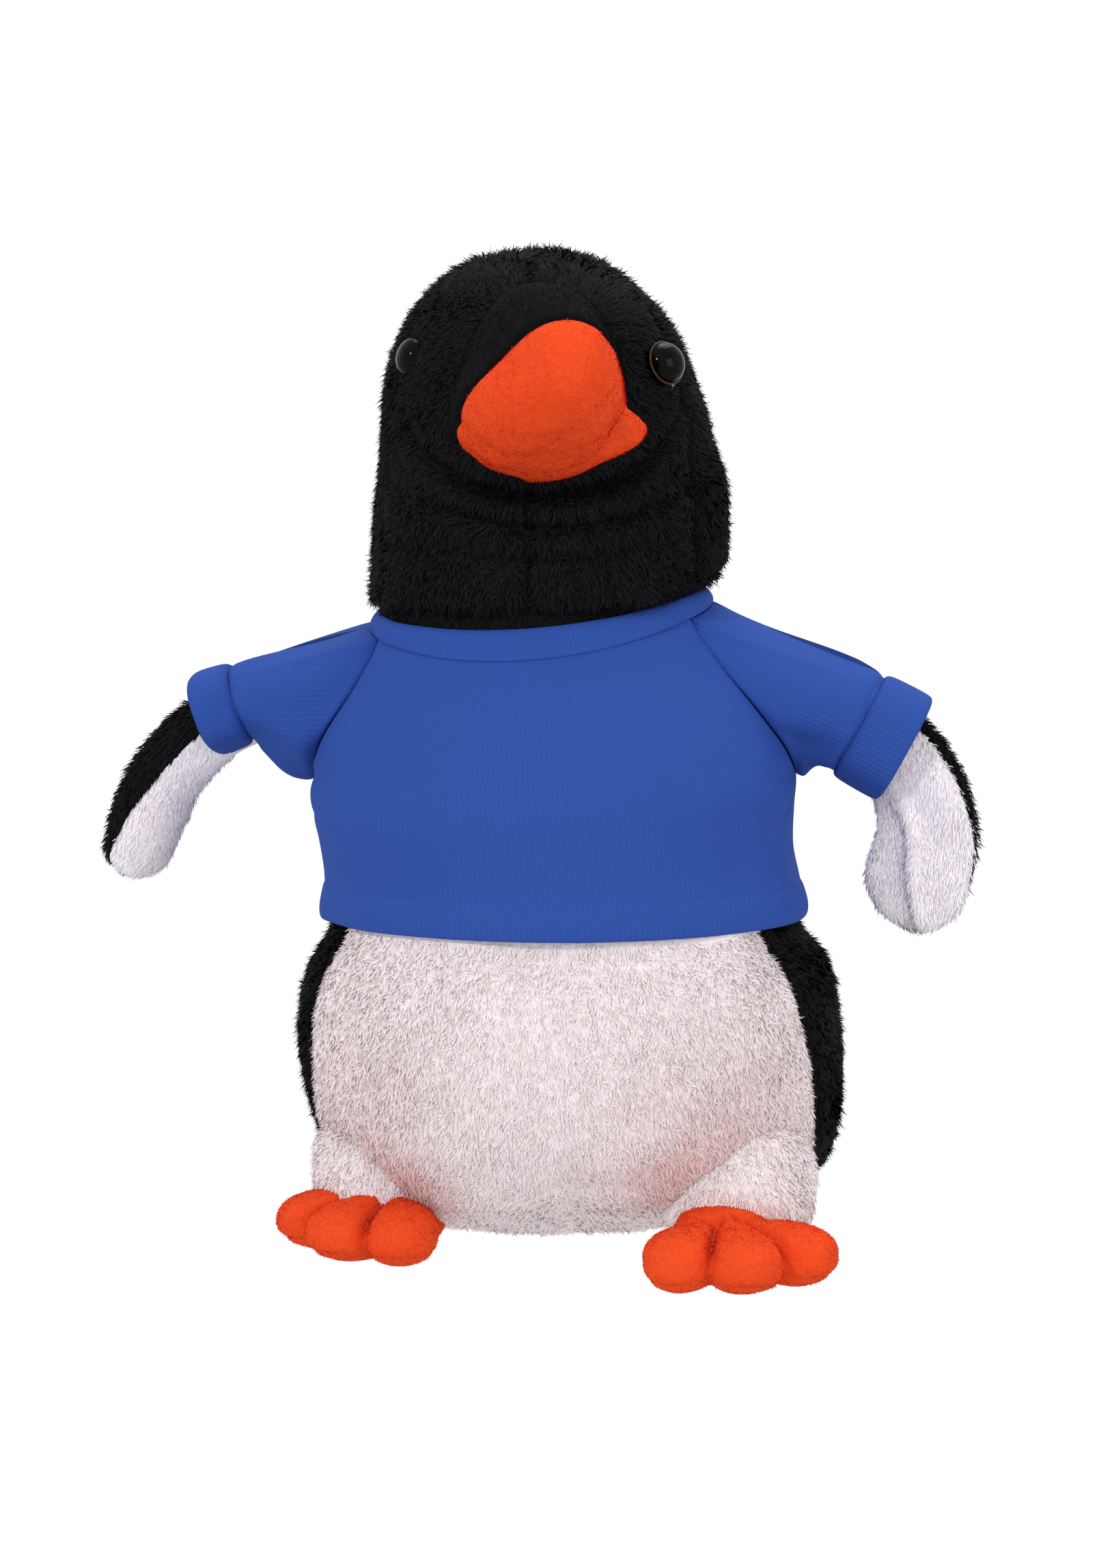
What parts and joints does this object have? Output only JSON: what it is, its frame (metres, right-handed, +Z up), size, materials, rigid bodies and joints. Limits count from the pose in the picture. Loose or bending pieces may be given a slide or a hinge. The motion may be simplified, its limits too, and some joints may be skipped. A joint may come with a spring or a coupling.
{
  "type": "plush penguin",
  "caption": "Soft standing penguin toy in a short-sleeved raglan T-shirt, with flapping wings, a head that turns and nods, a stuffed bill and flat-soled feet.",
  "frame": {"origin": "on the floor under the middle of the bounding box", "axes": "+Z up, the penguin faces -Y, +X to the right as seen from the front (the penguin's own left)"},
  "size_m": [0.186, 0.1232, 0.1987],
  "materials": {
    "black_plush": "matte",
    "white_plush": "matte",
    "black_fleece": "matte",
    "orange_fleece": "matte",
    "orange_thread": "matte",
    "blue_knit": "matte",
    "blue_rib": "matte",
    "eye_plastic": "gloss",
    "washer_plastic": "matte",
    "stuffing": "matte",
    "pouch_cloth": "matte",
    "pellet_plastic": "matte"
  },
  "bodies": {
    "torso": {"back_panel_left": "black_plush", "back_panel_right": "black_plush", "belly_panel": "white_plush", "foot_sole_left": "orange_fleece", "foot_sole_right": "orange_fleece", "foot_stuffing_left": "stuffing", "foot_stuffing_right": "stuffing", "foot_top_left": "orange_fleece", "foot_top_right": "orange_fleece", "hem_band": "blue_rib", "leg_left": "white_plush", "leg_right": "white_plush", "neckband": "blue_rib", "pellet_pouch": "pouch_cloth", "pellets": "pellet_plastic", "seat_panel": "white_plush", "shirt_back": "blue_knit", "shirt_front": "blue_knit", "toe_stitches_left": "orange_thread", "toe_stitches_right": "orange_thread", "torso_stuffing": "stuffing"},
    "neck": {"neck_stuffing": "stuffing"},
    "head": {"bill_lower": "orange_fleece", "bill_stuffing": "stuffing", "bill_upper": "black_fleece", "eye_left": "eye_plastic", "eye_right": "eye_plastic", "eye_washer_left": "washer_plastic", "eye_washer_right": "washer_plastic", "face_panel_left": "black_plush", "face_panel_right": "black_plush", "head_back_panel": "black_plush", "head_stuffing": "stuffing"},
    "wing_left": {"cuff_left": "blue_knit", "sleeve_left": "blue_knit", "wing_inner_left": "white_plush", "wing_outer_left": "black_plush", "wing_wadding_left": "stuffing"},
    "wing_right": {"cuff_right": "blue_knit", "sleeve_right": "blue_knit", "wing_inner_right": "white_plush", "wing_outer_right": "black_plush", "wing_wadding_right": "stuffing"}
  },
  "joints": [
    {"name": "neck_turn", "type": "hinge", "parent": "torso", "child": "neck", "pos_m": [0.00638, 0.0062, 0.09973], "axis": [-0.0732, 0, 0.9973], "range_deg": [-25, 25], "stiffness_Nm_per_rad": 0.3},
    {"name": "head_nod", "type": "hinge", "parent": "neck", "child": "head", "pos_m": [0.00638, 0.0062, 0.09973], "axis": [1, 0, 0], "range_deg": [-14, 14], "stiffness_Nm_per_rad": 0.6},
    {"name": "wing_left_flap", "type": "hinge", "parent": "torso", "child": "wing_left", "pos_m": [-0.03652, 0.0062, 0.1036], "axis": [0, 1, 0], "range_deg": [-8, 65], "stiffness_Nm_per_rad": 0.05},
    {"name": "wing_right_flap", "type": "hinge", "parent": "torso", "child": "wing_right", "pos_m": [0.04825, 0.0062, 0.10983], "axis": [0, -1, 0], "range_deg": [-8, 65], "stiffness_Nm_per_rad": 0.05}
  ]
}
